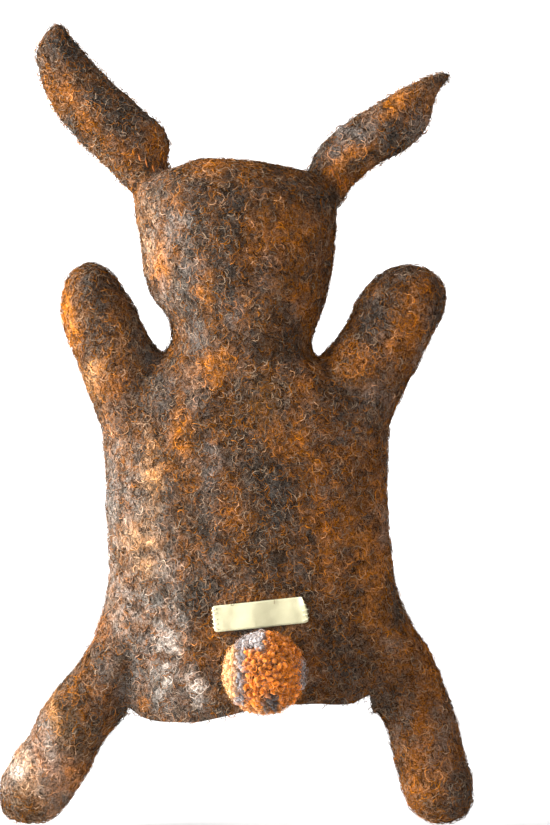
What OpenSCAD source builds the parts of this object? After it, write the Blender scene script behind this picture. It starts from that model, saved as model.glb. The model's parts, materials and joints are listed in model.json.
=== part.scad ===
// Glove puppet of a felted hare, worn on one hand: one finger in the head, one in each arm.
// Millimetres. +Z is up, the face looks towards -Y and the back towards +Y.
// The origin is the middle of the hem opening, where the hand goes in.

/* [Body] */
// Width of the body at the waist
body_w = 134; // [112:1:160]
// Depth of the body, front to back
body_d = 58; // [48:1:70]
// Height of the neck joint above the hem
body_h = 178; // [156:1:210]
// How far each lower corner stands out beyond the waist
hem_flare = 7; // [4:0.5:10]
// Slope of the hem, in degrees
hem_slope = 4; // [0:0.5:8]
// Thickness of the felt
felt_t = 3.5; // [2.6:0.1:4.5]

/* [Head] */
// Width of the head at its widest
head_w = 95; // [82:1:112]
// Depth of the head without the muzzle
head_d = 68; // [60:1:80]
// Height of the crown above the neck joint
head_h = 85; // [74:1:102]
// How far the crown leans to the puppet's left
head_lean = 6; // [0:0.5:8]
// Width of the neck
neck_w = 64; // [56:1:72]
// Reach of the muzzle in front of the neck axis
muzzle_reach = 52; // [46:1:62]
// Width of the finger pocket in the head
pocket_w = 22; // [17:0.5:26]
// Diameter of an eye bead
eye_dia = 9; // [7:0.5:11]
// Distance between the eyes
eye_gap = 42; // [34:1:50]
// Diameter of a whisker thread
whisker_dia = 0.8; // [0.5:0.1:1.2]

/* [Ears] */
// Length of the left ear
left_ear_l = 88; // [72:1:106]
// Length of the right ear
right_ear_l = 81; // [66:1:98]
// Widest part of the left ear
left_ear_w = 35; // [29:0.5:42]
// Widest part of the right ear
right_ear_w = 27; // [23:0.5:33]
// Outward lean of the left ear, in degrees
left_ear_lean = 33; // [20:1:45]
// Outward lean of the right ear, in degrees
right_ear_lean = 48; // [30:1:55]
// Thickness of an ear in the middle, with its lining
ear_t = 7; // [5.5:0.1:9]
// Thickness of the pinched root of an ear
ear_root_dia = 14; // [11:0.5:17]

/* [Arms] */
// Length of an arm from its joint to the tip of the paw
arm_l = 59; // [50:1:72]
// Width of an arm
arm_w = 37; // [32:0.5:42]
// Depth of an arm, front to back
arm_d = 31; // [27:0.5:36]
// Height of the arm joints below the neck joint
shoulder_drop = 21; // [20:0.5:26]
// Distance of the arm joints in from the side of the body
shoulder_inset = 12; // [10:0.5:13]
// Outward lean of the raised left arm, in degrees
left_arm_lean = 21; // [18:1:35]
// Outward lean of the raised right arm, in degrees
right_arm_lean = 24; // [18:1:35]

/* [Legs] */
// Length of a leg from its joint to the tip of the foot
leg_l = 72; // [60:1:88]
// Width of a leg
leg_w = 32; // [27:0.5:36]
// Depth of a leg, front to back
leg_d = 27; // [23:0.5:32]
// Height of the leg joints above the hem
hip_h = 13; // [11:0.5:16]
// Outward lean of the left leg, in degrees
left_leg_lean = 24; // [10:1:32]
// Outward lean of the right leg, in degrees
right_leg_lean = 14; // [10:1:32]

/* [Tail and label] */
// Diameter of the pompom tail
tail_dia = 40; // [32:1:48]
// Height of the middle of the tail above the hem
tail_h = 20.5; // [17:0.5:24]
// Sideways place of the tail
tail_x = -8; // [-12:0.5:12]
// Width of the woven label
label_w = 45; // [36:1:54]
// Height of the woven label
label_h = 14; // [11:0.5:17]
// Thickness of the woven label
label_t = 0.8; // [0.6:0.1:1.2]
// Height of the middle of the label above the hem
label_z = 45.5; // [42:0.5:50]
// Sideways place of the label
label_x = -6; // [-10:0.5:10]
// Slope of the label, in degrees
label_slope = 4; // [0:0.5:8]

/* [Fits] */
// Gap between pieces that move against each other
joint_gap = 0.5; // [0.4:0.05:0.8]
// Gap between sewn pieces on one body
sewn_gap = 0.1; // [0.05:0.05:0.2]
// Thickness of the inner sleeves at the joints
sleeve_t = 2.4; // [2:0.1:3]

/* [Hidden] */

left = 1;
right = -1;
facets = 24;       // sides of a felt tube
slice = 0.02;      // thickness of the slices that a felt form is stretched over
far = 400;         // longer than the whole puppet

rust = "#a0592c";
charcoal = "#4a4340";
peach = "#d9976a";
grey_felt = "#7a6f68";
cream = "#e6dfb8";
black = "#15130f";
wool_fill = "#ded6c6";

// Joint centres
neck_x = 3;
neck_at = [neck_x, 0, body_h];
neck_r = neck_w / 2 - joint_gap;
neck_cut_r = neck_w / 2 + 1;
neck_open = neck_w / 4;   // bare sleeve below the neck joint; above it, three quarters of this
shoulder_r = arm_w / 2 + 0.5;
// On a narrow body the arms keep this far out, clear of the neck
shoulder_x = max(body_w / 2 - shoulder_inset,
    neck_x + sqrt(pow(neck_r + shoulder_r + 5.5, 2) - pow(shoulder_drop, 2)));
shoulder_z = body_h - shoulder_drop;
hip_x = body_w / 2 + hem_flare + 1;
shoulder_cut_r = shoulder_r + 6;
hip_ring_r = leg_w / 2 - 2;
hip_cut_r = leg_w / 2 + 3.5;

function arm_at(side) = [side * shoulder_x, 0, shoulder_z];
function leg_at(side) = [side * hip_x, 0, hip_h];
function arm_lean(side) = side * (side == left ? left_arm_lean : right_arm_lean);
function leg_lean(side) = side * (side == left ? left_leg_lean : right_leg_lean);

// The body as slices: height, width, depth, sideways shift
hem_w = body_w - 16;
TORSO = [
    [0, hem_w, body_d - 4, -1],
    [hip_h, body_w - 8, body_d - 2, -1],
    [hip_h + 16, body_w + hem_flare, body_d, -3],
    [hip_h + 32, body_w + hem_flare, body_d, -3],
    [0.36 * body_h, body_w + 2, body_d, -2],
    [0.5 * body_h, body_w, body_d, -0.5],
    [0.65 * body_h, body_w, body_d - 2, 0.5],
    [0.75 * body_h, body_w - 3, body_d - 5, 1],
    [0.81 * body_h, body_w - 13, body_d - 8, 1],
    [0.87 * body_h, body_w - 32, body_d - 8, 2],
    [0.92 * body_h, neck_w + 18, neck_w - 10, neck_x],
    [0.96 * body_h, neck_w + 5, neck_w - 6, neck_x],
    [body_h, neck_w, neck_w - 4, neck_x]
];
function torso_w(z) = lookup(z, [for (s = TORSO) [s[0], s[1]]]);
function torso_d(z) = lookup(z, [for (s = TORSO) [s[0], s[2]]]);
function torso_cx(z) = lookup(z, [for (s = TORSO) [s[0], s[3]]]);
function back_y(x, z) = torso_d(z) / 2 * sqrt(1 - pow(2 * (x - torso_cx(z)) / torso_w(z), 2));

// The head as slices: height above the neck joint, width, depth, share of the lean
HEAD = [
    [0, neck_w, neck_w - 4, 0],
    [0.15 * head_h, neck_w + 12, neck_w, 0.1],
    [0.29 * head_h, 0.89 * head_w, head_d - 3, 0.2],
    [0.41 * head_h, 0.94 * head_w, head_d - 1, 0.3],
    [0.59 * head_h, 0.97 * head_w, head_d, 0.4],
    [0.73 * head_h, head_w, 0.97 * head_d, 0.5],
    [0.8 * head_h, 0.97 * head_w, 0.9 * head_d, 0.5],
    [0.86 * head_h, 0.87 * head_w, 0.79 * head_d, 0.6],
    [0.92 * head_h, 0.66 * head_w, 0.61 * head_d, 0.9],
    [0.97 * head_h, 0.4 * head_w, 0.38 * head_d, 1.2],
    [head_h, 0.14 * head_w, 0.14 * head_d, 1.5]
];
head_y = -2;
function head_x(h) = neck_x + head_lean * lookup(h, [for (s = HEAD) [s[0], s[3]]]);
function head_half_w(h) = lookup(h, [for (s = HEAD) [s[0], s[1]]]) / 2;
function head_half_d(h) = lookup(h, [for (s = HEAD) [s[0], s[2]]]) / 2;
function face_y(dx, h) = head_y - head_half_d(h) * sqrt(1 - pow(dx / head_half_w(h), 2));

eye_up = 0.62 * head_h;
eye_r = eye_dia / 2;
face_x = head_x(eye_up);
eye_y = face_y(eye_gap / 2, eye_up) + 0.2 * eye_r;
muzzle_up = 0.36 * head_h;
muzzle_tip = [face_x, 12 - muzzle_reach, body_h + muzzle_up - 4];
nose_at = [face_x, 1.5 - muzzle_reach, body_h + muzzle_up + 2];

// The ears as slices: share of the length, sideways shift, share of the width
LEFT_EAR = [[0, 0, 0.64], [0.11, -2.5, 0.76], [0.22, -2, 0.96], [0.33, 0.5, 1], [0.44, 3, 0.96],
            [0.55, 4.6, 0.92], [0.66, 6, 0.87], [0.77, 6.5, 0.78], [0.87, 5.5, 0.62],
            [0.95, 4, 0.4], [1, 2, 0.14]];
RIGHT_EAR = [[0, 0.5, 0.75], [0.12, 4, 0.85], [0.24, 4.5, 0.96], [0.36, 4, 0.98], [0.48, 2, 1],
             [0.6, 0, 0.98], [0.71, 0.5, 0.86], [0.83, 2, 0.56], [0.92, 1.5, 0.32], [1, 0, 0.1]];
ear_up = 0.876 * head_h;
ear_root_r = ear_root_dia / 2;
left_ear_at = [head_x(ear_up) + 0.395 * head_w, head_y, body_h + ear_up];
right_ear_at = [head_x(ear_up) - 0.455 * head_w, head_y, body_h + 0.95 * ear_up];
function ear_at(side) = side == left ? left_ear_at : right_ear_at;
function ear_lean(side) = side == left ? left_ear_lean : -right_ear_lean;
function ear_l(side) = side == left ? left_ear_l : right_ear_l;
function ear_w(side) = side == left ? left_ear_w : right_ear_w;
function ear_root_w(side) = (side == left ? 0.64 : 0.75) * ear_w(side) - 1;
lining_y = -ear_t / 8;     // the plane where the lining meets the ear

tail_r = tail_dia / 2;
tail_tie_r = 4.2;
tail_anchor = [tail_x, back_y(tail_x, tail_h) + joint_gap, tail_h];
tail_wobble_side = 65;     // half angle of the cone that keeps the tail off the back

// A slice is [x, y, z, width, depth, lean]
module felt_slice(s, grow) {
    translate([s[0], s[1], s[2]])
        rotate([0, s[5], 0])
            linear_extrude(slice, center = true)
                scale([max(s[3] + 2 * grow, 1), max(s[4] + 2 * grow, 1)])
                    circle(d = 1, $fn = facets);
}

module felt_form(slices, grow = 0) {
    for (i = [0 : len(slices) - 2])
        hull() {
            felt_slice(slices[i], grow);
            felt_slice(slices[i + 1], grow);
        }
}

// A stuffed or hollow limb along +Z: a gently bowed tube with a domed tip
function limb_slices(l, w, d, bow, start, grow) = let(cap = w / 2) concat(
    [for (t = [0 : 0.2 : 1])
        let(z = start + t * (l - cap - start))
        [bow * sin(180 * z / l), 0, z, w * (1 - 0.06 * t), d * (1 - 0.06 * t), 0]],
    [for (a = [20 : 20 : 80])
        let(z = l - cap + (cap + grow) * sin(a) / sin(80))
        [bow * sin(180 * min(z / l, 1)), 0, z, 0.94 * w * cos(a), 0.94 * d * cos(a), 0]]);

module limb(l, w, d, bow, start, grow = 0) {
    felt_form(limb_slices(l, w, d, bow, start, grow), grow);
}

// A band of a hollow ball, open at both ends, round the local Z axis
module ball_band(r, t, half_h) {
    rotate_extrude($fn = 64)
        intersection() {
            difference() {
                circle(r, $fn = 64);
                circle(r - t, $fn = 64);
            }
            translate([0, -half_h]) square([r, 2 * half_h]);
        }
}

module thread(a, b, r) {
    hull() {
        translate(a) sphere(r, $fn = 8);
        translate(b) sphere(r, $fn = 8);
    }
}

// ---- body ----

module torso_form(grow = 0) {
    felt_form([for (s = TORSO) [s[3], 0, s[0], s[1], s[2], 0]], grow);
    for (side = [left, right])
        hull() {
            translate([side * (hip_x - 16), 0, hip_h + 34]) scale([1, 0.8, 1])
                sphere(12 + grow, $fn = 24);
            translate([side * (hip_x + 1), 0, hip_h + 4]) scale([1, 0.85, 1])
                sphere(leg_w / 2 + grow, $fn = 24);
        }
}

module torso_passage() {
    torso_form(-felt_t);
    translate([-1, 0, -10]) linear_extrude(10 + felt_t)
        scale([hem_w - 2 * felt_t, body_d - 4 - 2 * felt_t]) circle(d = 1, $fn = facets);
    translate([neck_x, 0, body_h - 20]) cylinder(r = neck_w / 2 - felt_t - 3, h = 40, $fn = facets);
}

module torso_shell() {
    color(charcoal)
        difference() {
            torso_form();
            torso_passage();
            translate(neck_at) sphere(neck_cut_r, $fn = 32);
            for (side = [left, right]) {
                translate(arm_at(side)) sphere(shoulder_cut_r, $fn = 28);
                translate(leg_at(side)) sphere(hip_cut_r, $fn = 28);
            }
            rotate([0, hem_slope, 0]) translate([-hem_w / 2 + 1, -body_d, -30])
                cube([hem_w - 2, 2 * body_d, 30]);
            translate([-neck_w, -body_d, body_h - neck_open])
                cube([2 * neck_w, 2 * body_d, 2 * neck_open]);
        }
}

module back_layer(inner, outer) {
    difference() {
        torso_form(outer);
        torso_form(inner);
    }
}

module label() {
    color(cream)
        intersection() {
            back_layer(sewn_gap, sewn_gap + label_t);
            translate([label_x, 0, label_z]) rotate([0, label_slope, 0])
                translate([-label_w / 2, 0, -label_h / 2]) cube([label_w, body_d, label_h]);
        }
}

module label_stitches() {
    color(peach)
        intersection() {
            back_layer(2 * sewn_gap + label_t, 2 * sewn_gap + label_t + 0.5);
            translate([label_x, 0, label_z]) rotate([0, label_slope, 0])
                for (end = [-1, 1], row = [-1 : 1])
                    translate([end * (label_w / 2 - 1.6) - 1.2, 0, row * (label_h / 2 - 2) - 0.35])
                        cube([2.4, body_d, 0.7]);
        }
}

module tail_knot() {
    color(rust)
        translate([tail_x, back_y(tail_x, tail_h) - felt_t - 2.6, tail_h])
            sphere(2, $fn = 24);
}

// ---- neck ----

module neck_sleeve() {
    color(grey_felt) translate(neck_at) ball_band(neck_r, sleeve_t, neck_open);
}

module neck_lining() {
    color(wool_fill) translate(neck_at)
        ball_band(neck_r - sleeve_t - joint_gap, sleeve_t, 0.75 * neck_open);
}

// ---- head ----

module head_form(grow = 0) {
    felt_form([for (s = HEAD) [neck_x + head_lean * s[3], head_y * min(1, s[0] / 20),
        body_h + s[0] + (s[0] > 0.5 * head_h ? grow : 0), s[1], s[2], 0]], grow);
    hull() {
        translate([face_x, head_y - 14, body_h + muzzle_up]) scale([27, 14, 23])
            sphere(1 + grow / 20, $fn = 24);
        translate(muzzle_tip) scale([15, 12, 12]) sphere(1 + grow / 12, $fn = 24);
    }
}

module neck_clearance() {
    translate(neck_at) sphere(neck_cut_r, $fn = 32);
    translate([-neck_w, -neck_w, body_h - 1]) cube([2 * neck_w, 2 * neck_w, 1 + 0.75 * neck_open]);
}

module ear_frame(side) {
    translate(ear_at(side)) rotate([0, ear_lean(side), 0]) children();
}

module ear_root(side, grow = 0) {
    w = ear_root_w(side) + 2 * grow;
    ear_frame(side) translate([-w / 2, 0, 0]) rotate([0, 90, 0])
        cylinder(r = ear_root_r + grow, h = w, $fn = 32);
}

module eye_bead(side, grow = 0) {
    translate([face_x + side * eye_gap / 2, eye_y, body_h + eye_up]) sphere(eye_r + grow, $fn = 24);
}

module eye_line(r) {
    translate([face_x, eye_y, body_h + eye_up]) rotate([0, 90, 0])
        cylinder(r = r, h = eye_gap - 2 * eye_r - 2 * sewn_gap, center = true, $fn = 16);
}

module nose_form(grow = 0) {
    translate(nose_at) scale([5.5, 3.2, 3.6]) sphere(1 + grow / 3.2, $fn = 20);
}

module mouth_lines(r) {
    drop = [face_x, 1.1 - muzzle_reach, body_h + muzzle_up - 9];
    thread([face_x, 0.1 - muzzle_reach, body_h + muzzle_up - 4], drop, r);
    for (side = [left, right])
        thread(drop, drop + [side * 8, 4.4, -3], r);
}

module whisker_rods(side, r) {
    root = [face_x + side * 13, 12 - muzzle_reach, body_h + muzzle_up - 2];
    thread(root + [0, 0, 3], root + [side * 34, 1, 5], r);
    thread(root, root + [side * 42, -2, 1], r);
    thread(root - [0, 0, 3], root + [side * 17, 4, -18], r);
}

module head_shell() {
    color(rust)
        difference() {
            head_form();
            head_form(-felt_t);
            neck_clearance();
            for (side = [left, right]) {
                ear_root(side, joint_gap);
                eye_bead(side, sewn_gap);
                whisker_rods(side, whisker_dia / 2 + sewn_gap);
            }
            nose_form(sewn_gap);
            mouth_lines(0.6 + sewn_gap);
            eye_line(0.5 + sewn_gap);
        }
}

module head_stuffing() {
    color(wool_fill)
        difference() {
            head_form(-felt_t - sewn_gap);
            neck_clearance();
            translate([head_x(0.3 * head_h), 0, body_h]) {
                cylinder(r = pocket_w / 2, h = 0.5 * head_h, $fn = 32);
                translate([0, 0, 0.5 * head_h]) sphere(pocket_w / 2, $fn = 32);
            }
            for (side = [left, right]) {
                ear_root(side, joint_gap);
                eye_bead(side, sewn_gap);
                whisker_rods(side, whisker_dia / 2 + sewn_gap);
            }
            nose_form(sewn_gap);
            mouth_lines(0.6 + sewn_gap);
            eye_line(0.5 + sewn_gap);
        }
}

module left_eye() {
    color(black) eye_bead(left);
}

module right_eye() {
    color(black) eye_bead(right);
}

module eye_thread() {
    color(black) eye_line(0.5);
}

module nose() {
    color(black) nose_form();
}

module mouth_stitches() {
    color(black) mouth_lines(0.6);
}

module left_whiskers() {
    color(black) whisker_rods(left, whisker_dia / 2);
}

module right_whiskers() {
    color(black) whisker_rods(right, whisker_dia / 2);
}

// ---- ears ----

module ear_form(side) {
    outline = side == left ? LEFT_EAR : RIGHT_EAR;
    ear_frame(side)
        felt_form([for (s = outline) [s[1], 0, s[0] * ear_l(side), s[2] * ear_w(side),
            ear_t * (0.55 + 0.45 * min(1, 3 * (1 - s[0]))), 0]]);
    ear_root(side);
}

module ear_half(side, from_y, to_y) {
    intersection() {
        ear_form(side);
        translate([-far / 2, head_y + from_y, 0]) cube([far, to_y - from_y, far]);
    }
}

module ear_stitches(side) {
    up = 0.11 * ear_l(side);
    ear_frame(side)
        for (x = [-6, -1.5, 3])
            translate([x, ear_t / 2 + 0.6, up - 1.5]) cylinder(r = 0.5, h = 3, $fn = 16);
}

module left_ear() {
    color(charcoal) ear_half(left, lining_y, far / 4);
}

module left_ear_lining() {
    color(peach) ear_half(left, -far / 4, lining_y - sewn_gap);
}

module left_ear_stitches() {
    color(rust) ear_stitches(left);
}

module right_ear() {
    color(charcoal) ear_half(right, lining_y, far / 4);
}

module right_ear_lining() {
    color(peach) ear_half(right, -far / 4, lining_y - sewn_gap);
}

module right_ear_stitches() {
    color(rust) ear_stitches(right);
}

// ---- arms ----

module shoulder(side) {
    translate(arm_at(side)) rotate([0, arm_lean(side), 0])
        ball_band(shoulder_r, sleeve_t, shoulder_r / 2.4);
}

module arm(side) {
    difference() {
        translate(arm_at(side)) rotate([0, arm_lean(side), 0])
            difference() {
                limb(arm_l, arm_w, arm_d, side * 3.5, 4);
                limb(arm_l, arm_w, arm_d, side * 3.5, 1, -felt_t);
            }
        translate(arm_at(side)) sphere(shoulder_r + joint_gap, $fn = 28);
    }
}

module left_shoulder() {
    color(grey_felt) shoulder(left);
}

module left_arm() {
    color(rust) arm(left);
}

module right_shoulder() {
    color(grey_felt) shoulder(right);
}

module right_arm() {
    color(rust) arm(right);
}

// ---- legs ----

module leg_frame(side) {
    translate(leg_at(side)) rotate([0, -leg_lean(side), 0]) mirror([0, 0, 1]) children();
}

module hip(side) {
    leg_frame(side) ball_band(hip_ring_r, sleeve_t, hip_ring_r / 2);
}

module leg(side) {
    difference() {
        leg_frame(side) difference() {
            limb(leg_l, leg_w, leg_d, side * 2, 4);
            limb(leg_l, leg_w, leg_d, side * 2, 1, -felt_t);
        }
        translate(leg_at(side)) sphere(hip_ring_r + joint_gap, $fn = 28);
    }
}

module leg_stuffing(side) {
    difference() {
        leg_frame(side) limb(leg_l, leg_w, leg_d, side * 2, 5, -felt_t - sewn_gap);
        translate(leg_at(side)) sphere(hip_ring_r + joint_gap, $fn = 28);
    }
}

module left_hip() {
    color(grey_felt) hip(left);
}

module left_leg() {
    color(rust) leg(left);
}

module left_leg_stuffing() {
    color(wool_fill) leg_stuffing(left);
}

module right_hip() {
    color(grey_felt) hip(right);
}

module right_leg() {
    color(rust) leg(right);
}

module right_leg_stuffing() {
    color(wool_fill) leg_stuffing(right);
}

// ---- tail ----

module tail_frame() {
    translate(tail_anchor) rotate([-90, 0, 0]) children();
}

module tail_tie() {
    color(rust) tail_frame() cylinder(r = 1.2, h = tail_tie_r - 0.4, $fn = 24);
}

module tail_pompom() {
    centre = tail_r - 2.5;
    color(rust)
        tail_frame()
            difference() {
                intersection() {
                    translate([0, 0, centre]) sphere(tail_r, $fn = 32);
                    cylinder(r1 = 0.01, r2 = 2 * tail_dia * tan(tail_wobble_side),
                        h = 2 * tail_dia, $fn = 64);
                }
                sphere(tail_tie_r + joint_gap, $fn = 32);
                translate([0, 0, centre]) cylinder(r = 3 + sewn_gap, h = 4 + 2 * sewn_gap,
                    center = true, $fn = 24);
            }
}

module tail_binding() {
    color(cream) tail_frame() translate([0, 0, tail_r - 2.5])
        cylinder(r = 3, h = 4, center = true, $fn = 24);
}

torso_shell();
label();
label_stitches();
tail_knot();
neck_sleeve();
neck_lining();
head_shell();
head_stuffing();
left_eye();
right_eye();
eye_thread();
nose();
mouth_stitches();
left_whiskers();
right_whiskers();
left_ear();
left_ear_lining();
left_ear_stitches();
right_ear();
right_ear_lining();
right_ear_stitches();
left_shoulder();
left_arm();
right_shoulder();
right_arm();
left_hip();
left_leg();
left_leg_stuffing();
right_hip();
right_leg();
right_leg_stuffing();
tail_tie();
tail_pompom();
tail_binding();
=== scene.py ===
"""A felted hare glove puppet, seen from behind.

The felt is one closed skin of wool, made from lofts and melted together. It is cut into the
pieces that move, and each piece gets curly loose fibres. Outline rows are in millimetres.
"""
import json
import math

import bmesh
import bpy
import numpy as np
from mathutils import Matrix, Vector, noise
from mathutils.bvhtree import BVHTree


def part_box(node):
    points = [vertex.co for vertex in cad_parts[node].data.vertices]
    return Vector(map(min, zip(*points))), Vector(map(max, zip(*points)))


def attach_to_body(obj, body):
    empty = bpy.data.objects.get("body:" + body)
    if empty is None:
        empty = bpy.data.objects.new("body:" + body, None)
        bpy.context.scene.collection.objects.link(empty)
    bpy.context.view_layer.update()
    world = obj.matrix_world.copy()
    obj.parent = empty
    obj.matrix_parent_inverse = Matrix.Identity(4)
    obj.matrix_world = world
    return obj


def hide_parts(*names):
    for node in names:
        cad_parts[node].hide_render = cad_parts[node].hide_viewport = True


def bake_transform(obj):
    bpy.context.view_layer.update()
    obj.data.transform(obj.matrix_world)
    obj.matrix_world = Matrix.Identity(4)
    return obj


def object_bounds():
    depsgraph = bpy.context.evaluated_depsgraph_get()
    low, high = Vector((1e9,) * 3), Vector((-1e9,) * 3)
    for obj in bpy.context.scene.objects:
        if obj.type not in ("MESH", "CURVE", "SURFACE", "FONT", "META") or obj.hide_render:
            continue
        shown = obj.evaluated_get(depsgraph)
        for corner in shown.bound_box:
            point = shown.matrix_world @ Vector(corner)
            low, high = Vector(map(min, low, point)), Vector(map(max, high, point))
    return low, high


MM = 0.001
PUPPET_LEFT, PUPPET_RIGHT = 1, -1
SIDE_NAMES = {PUPPET_LEFT: "left", PUPPET_RIGHT: "right"}

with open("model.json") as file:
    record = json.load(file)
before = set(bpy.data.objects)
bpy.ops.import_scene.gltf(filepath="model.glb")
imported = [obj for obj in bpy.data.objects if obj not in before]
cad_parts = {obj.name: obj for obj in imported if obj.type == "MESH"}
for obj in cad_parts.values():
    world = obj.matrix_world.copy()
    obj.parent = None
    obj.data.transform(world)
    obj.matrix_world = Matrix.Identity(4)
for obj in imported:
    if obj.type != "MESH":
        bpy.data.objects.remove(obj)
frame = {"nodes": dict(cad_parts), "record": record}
cad_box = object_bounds()


# ---- colours ----

def srgb(red, green, blue):
    """A colour given as 0 to 255 on a screen, as linear numbers with alpha."""
    parts = [c / 255 for c in (red, green, blue)]
    return tuple(c / 12.92 if c <= 0.04045 else ((c + 0.055) / 1.055) ** 2.4 for c in parts) + (1,)


WOOL = {
    "rust": srgb(148, 84, 10),
    "orange": srgb(196, 116, 22),
    "peach": srgb(216, 156, 96),
    "straw": srgb(190, 164, 136),
    "brown": srgb(80, 55, 24),
    "umber": srgb(40, 27, 12),
    "charcoal": srgb(42, 38, 34),
    "grey": srgb(112, 103, 96),
    "pale": srgb(214, 204, 192),
}

# Patches of blended wool: x, height, half width, half height, tilt in degrees, tone, strength
BODY_PATCHES = [
    # The first, broad pale patch is painted light on the puppet's left, the side that faces the window lamp.
    (56, 80, 17, 60, 0, "pale", 0.3), (-50, 90, 20, 70, 0, "rust", 0.5),
    (-58, 60, 8, 40, 0, "orange", 0.5), (52, 140, 7, 20, 5, "umber", 0.9), (64, 154, 7, 7, 0, "rust", 0.8),
    (40, 152, 6, 12, 20, "grey", 0.9), (25, 152, 6, 12, 0, "grey", 0.6), (19, 160, 7, 9, 0, "orange", 0.7),
    (45, 112, 6, 16, 0, "peach", 0.9), (32, 130, 7, 14, 15, "orange", 0.7),
    (17, 118, 5, 12, 0, "grey", 0.9), (16, 82, 6, 18, 0, "grey", 0.5),
    (60, 105, 3, 12, 0, "charcoal", 0.8), (64, 108, 3, 14, 0, "grey", 0.6),
    (50, 78, 8, 16, 0, "peach", 0.7), (30, 75, 4, 8, 0, "charcoal", 0.8), (37, 30, 8, 28, 0, "pale", 0.8),
    (49, 32, 4, 14, 0, "grey", 0.9), (25, 10, 6, 9, 0, "pale", 0.7), (58, 10, 6, 8, 0, "grey", 0.7),
    (9, 97, 9, 13, 0, "rust", 0.7), (5, 130, 6, 18, 0, "umber", 0.7),
    (-15, 105, 9, 15, 0, "charcoal", 0.9), (-20, 128, 10, 11, 30, "rust", 0.9),
    (-38, 95, 8, 34, 0, "rust", 0.75), (-12, 70, 12, 13, 0, "umber", 0.7),
    (-49, 146, 9, 11, -30, "charcoal", 0.95), (-48, 108, 4, 9, 0, "charcoal", 0.8),
    (-61, 90, 5, 32, 0, "rust", 0.8), (-64, 88, 3, 12, 0, "grey", 0.7), (-45, 30, 14, 24, 0, "umber", 0.6),
    (-30, 25, 5, 18, 0, "rust", 0.5), (-55, 34, 5, 14, 0, "umber", 0.9), (-73, 27, 6, 16, 20, "rust", 0.8),
    (58, 60, 5, 12, 0, "grey", 0.6), (70, 38, 6, 12, -25, "rust", 0.6), (10, 48, 6, 10, 0, "rust", 0.5),
    (-22, 46, 8, 8, 0, "brown", 0.8), (44, 158, 8, 5, 40, "charcoal", 0.6),
    (-62, 152, 7, 8, 0, "grey", 0.6), (0, 20, 9, 12, 0, "umber", 0.5), (-8, 150, 8, 12, 0, "brown", 0.7),
    (-27, 158, 6, 10, 20, "rust", 0.7), (8, 75, 5, 10, 0, "rust", 0.6),
    (-25, 82, 5, 10, 0, "charcoal", 0.5),
]
HEAD_PATCHES = [
    # The first, broad pale patch is painted light on the head's left, the side that faces the window lamp.
    (42, 215, 11, 32, 0, "pale", 0.25), (-26, 215, 14, 34, 0, "rust", 0.45),
    (-8, 215, 10, 34, 0, "orange", 0.25), (51, 226, 5, 24, 0, "peach", 0.4),
    (44, 250, 5, 6, 0, "grey", 0.8), (39, 248, 4, 5, 0, "umber", 0.9),
    (21, 235, 8, 11, 0, "charcoal", 0.7), (25, 213, 6, 9, 0, "grey", 0.8),
    (41, 211, 5, 11, 0, "orange", 0.9), (44, 196, 4, 9, 20, "grey", 0.8),
    (21, 200, 5, 7, 0, "orange", 0.8), (10, 208, 6, 9, 0, "charcoal", 0.9),
    (10, 238, 7, 13, 0, "umber", 0.6), (-8, 250, 5, 6, 0, "charcoal", 0.6),
    (-22, 225, 13, 11, 0, "rust", 0.8), (-28, 192, 5, 13, 0, "rust", 0.7),
    (-34, 242, 5, 8, 0, "charcoal", 0.8), (12, 258, 14, 5, 0, "orange", 0.6),
    (5, 187, 6, 9, 0, "grey", 0.7), (26, 182, 7, 13, 0, "grey", 0.8), (15, 165, 7, 6, 0, "orange", 0.8),
    (-12, 176, 5, 16, 0, "umber", 0.7), (32, 232, 6, 8, 0, "grey", 0.6), (-10, 208, 6, 9, 20, "grey", 0.5),
    (-20, 205, 5, 8, 0, "umber", 0.6), (0, 222, 5, 9, 0, "rust", 0.5),
    (-36, 222, 4, 9, 0, "charcoal", 0.5),
]
EAR_PATCHES = [
    (91, 318, 8, 12, -25, "charcoal", 0.9), (74, 298, 9, 26, -35, "charcoal", 0.9),
    (83, 292, 5, 18, -30, "rust", 0.95), (60, 268, 4, 16, -35, "rust", 0.8),
    (45, 272, 6, 11, -25, "rust", 0.9), (50, 256, 7, 6, 0, "umber", 0.9),
    (66, 280, 5, 12, -35, "charcoal", 0.8), (95, 300, 3, 12, -15, "rust", 0.7),
    (-45, 271, 8, 12, 45, "grey", 0.8), (-52, 267, 3, 13, 50, "orange", 0.8),
    (-70, 289, 3, 14, 55, "orange", 0.9), (-67, 277, 7, 12, 50, "charcoal", 0.9),
    (-84, 278, 5, 11, 20, "grey", 0.7), (-45, 253, 9, 5, 30, "rust", 0.8),
    (-94, 302, 3, 4, 45, "umber", 0.9), (-80, 290, 4, 12, 40, "rust", 0.7),
    (-57, 279, 5, 8, 50, "grey", 0.6),
]
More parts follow.
